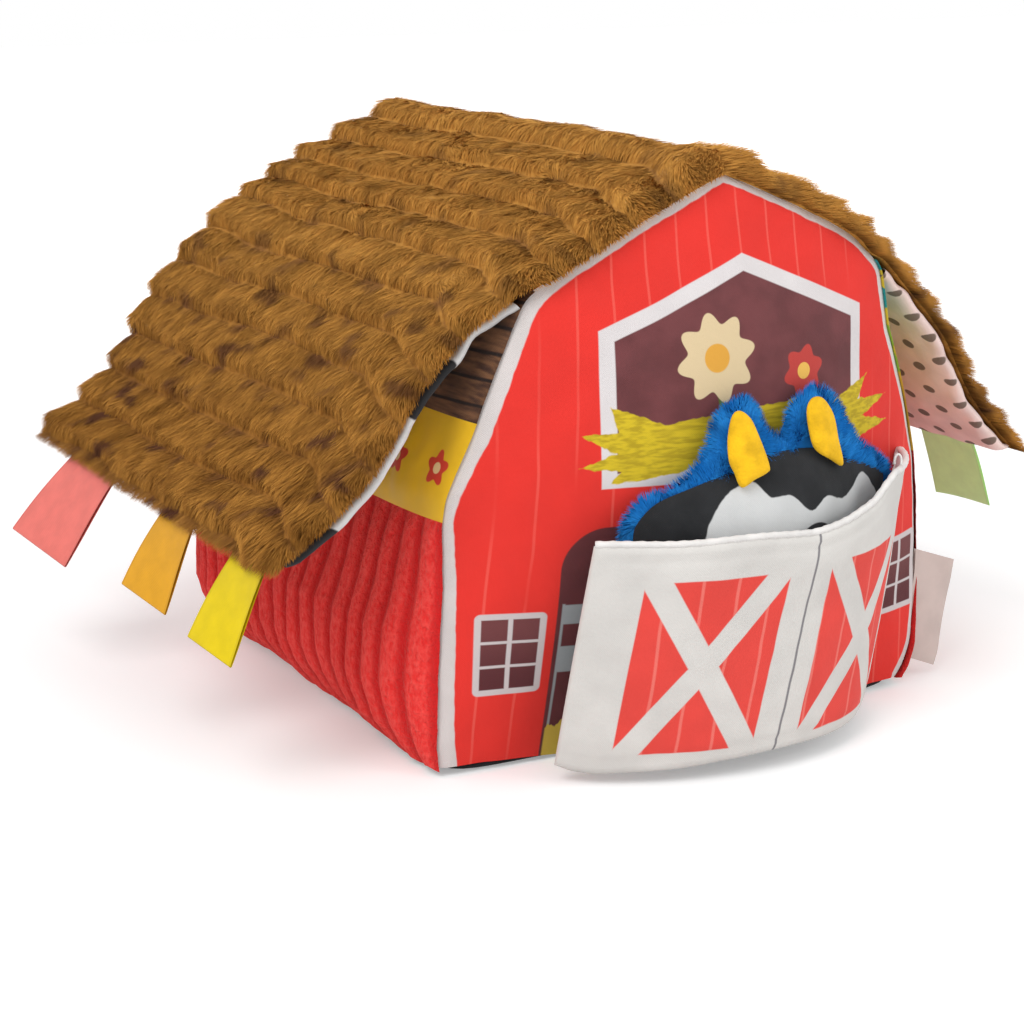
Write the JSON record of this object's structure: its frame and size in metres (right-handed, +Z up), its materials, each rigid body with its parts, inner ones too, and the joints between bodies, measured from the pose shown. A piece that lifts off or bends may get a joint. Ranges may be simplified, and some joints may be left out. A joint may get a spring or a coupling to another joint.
{
  "type": "toy barn with opening doors",
  "caption": "Stuffed cloth toy barn with a swinging door flap, a cow head behind it, two plush roof flaps that lift, and ribbon tabs.",
  "frame": {"origin": "centre of the base panel, on the face the barn rests on", "axes": "+X to the right seen from the front, +Y towards the back gable, +Z up"},
  "size_m": [0.3738, 0.2869, 0.2061],
  "materials": {
    "red_print": "matte",
    "red_corduroy": "matte",
    "yellow_satin": "satin",
    "plank_print": "matte",
    "green_print": "matte",
    "black_cloth": "matte",
    "stuffing": "matte",
    "wadding": "matte",
    "brown_plush": "matte",
    "patch_lining": "matte",
    "spot_lining": "matte",
    "coral_satin": "satin",
    "orange_satin": "satin",
    "lemon_satin": "satin",
    "green_satin": "satin",
    "blue_satin": "satin",
    "violet_satin": "satin",
    "door_print": "matte",
    "white_piping": "matte",
    "white_thread": "matte",
    "cow_print": "matte",
    "blue_plush": "matte",
    "yellow_felt": "matte",
    "label_tape": "satin"
  },
  "bodies": {
    "barn_body": {"body_filling": "stuffing", "front_gable_panel": "red_print", "back_gable_panel": "red_print", "left_corduroy_wall": "red_corduroy", "right_corduroy_wall": "red_corduroy", "left_satin_band": "yellow_satin", "right_satin_band": "yellow_satin", "left_upper_wall": "plank_print", "right_upper_wall": "green_print", "base_panel": "black_cloth", "roof_crown_plush": "brown_plush", "door_seam": "red_print", "side_label": "label_tape"},
    "door_flap": {"door_face": "door_print", "door_wadding": "wadding", "door_lining": "patch_lining", "door_piping": "white_piping", "door_thread_loop": "white_thread"},
    "cow": {"cow_face": "cow_print", "cow_filling": "stuffing", "cow_back_plush": "blue_plush", "cow_left_horn": "yellow_felt", "cow_right_horn": "yellow_felt"},
    "left_flap": {"left_flap_plush": "brown_plush", "left_flap_wadding": "wadding", "left_flap_lining": "patch_lining"},
    "right_flap": {"right_flap_plush": "brown_plush", "right_flap_wadding": "wadding", "right_flap_lining": "spot_lining"},
    "left_coral_tab": {"left_coral_ribbon": "coral_satin"},
    "left_orange_tab": {"left_orange_ribbon": "orange_satin"},
    "left_yellow_tab": {"left_yellow_ribbon": "lemon_satin"},
    "right_green_tab": {"right_green_ribbon": "green_satin"},
    "right_blue_tab": {"right_blue_ribbon": "blue_satin"},
    "right_violet_tab": {"right_violet_ribbon": "violet_satin"}
  },
  "joints": [
    {"name": "door_swing", "type": "hinge", "parent": "barn_body", "child": "door_flap", "pos_m": [0.088, -0.1115, 0.008], "axis": [0, 0, 1], "range_deg": [0, 120]},
    {"name": "left_flap_lift", "type": "hinge", "parent": "barn_body", "child": "left_flap", "pos_m": [-0.07295, 0, 0.17023], "axis": [0, 1, 0], "range_deg": [0, 90]},
    {"name": "right_flap_lift", "type": "hinge", "parent": "barn_body", "child": "right_flap", "pos_m": [0.07295, 0, 0.17023], "axis": [0, -1, 0], "range_deg": [0, 90]},
    {"name": "cow_lift", "type": "slide", "parent": "barn_body", "child": "cow", "axis": [0, 0, 1], "range_m": [0, 0.11]},
    {"name": "left_coral_tab_swing", "type": "hinge", "parent": "left_flap", "child": "left_coral_tab", "pos_m": [-0.16152, 0.07, 0.08459], "axis": [0, 1, 0], "range_deg": [-40, 40], "stiffness_Nm_per_rad": 0.002},
    {"name": "left_orange_tab_swing", "type": "hinge", "parent": "left_flap", "child": "left_orange_tab", "pos_m": [-0.16152, -0.017, 0.08459], "axis": [0, 1, 0], "range_deg": [-40, 40], "stiffness_Nm_per_rad": 0.002},
    {"name": "left_yellow_tab_swing", "type": "hinge", "parent": "left_flap", "child": "left_yellow_tab", "pos_m": [-0.16152, -0.08, 0.08459], "axis": [0, 1, 0], "range_deg": [-40, 40], "stiffness_Nm_per_rad": 0.002},
    {"name": "right_green_tab_swing", "type": "hinge", "parent": "right_flap", "child": "right_green_tab", "pos_m": [0.16152, -0.05, 0.08459], "axis": [0, -1, 0], "range_deg": [-40, 40], "stiffness_Nm_per_rad": 0.002},
    {"name": "right_blue_tab_swing", "type": "hinge", "parent": "right_flap", "child": "right_blue_tab", "pos_m": [0.16152, 0.012, 0.08459], "axis": [0, -1, 0], "range_deg": [-40, 40], "stiffness_Nm_per_rad": 0.002},
    {"name": "right_violet_tab_swing", "type": "hinge", "parent": "right_flap", "child": "right_violet_tab", "pos_m": [0.16152, 0.084, 0.08459], "axis": [0, -1, 0], "range_deg": [-40, 40], "stiffness_Nm_per_rad": 0.002}
  ]
}
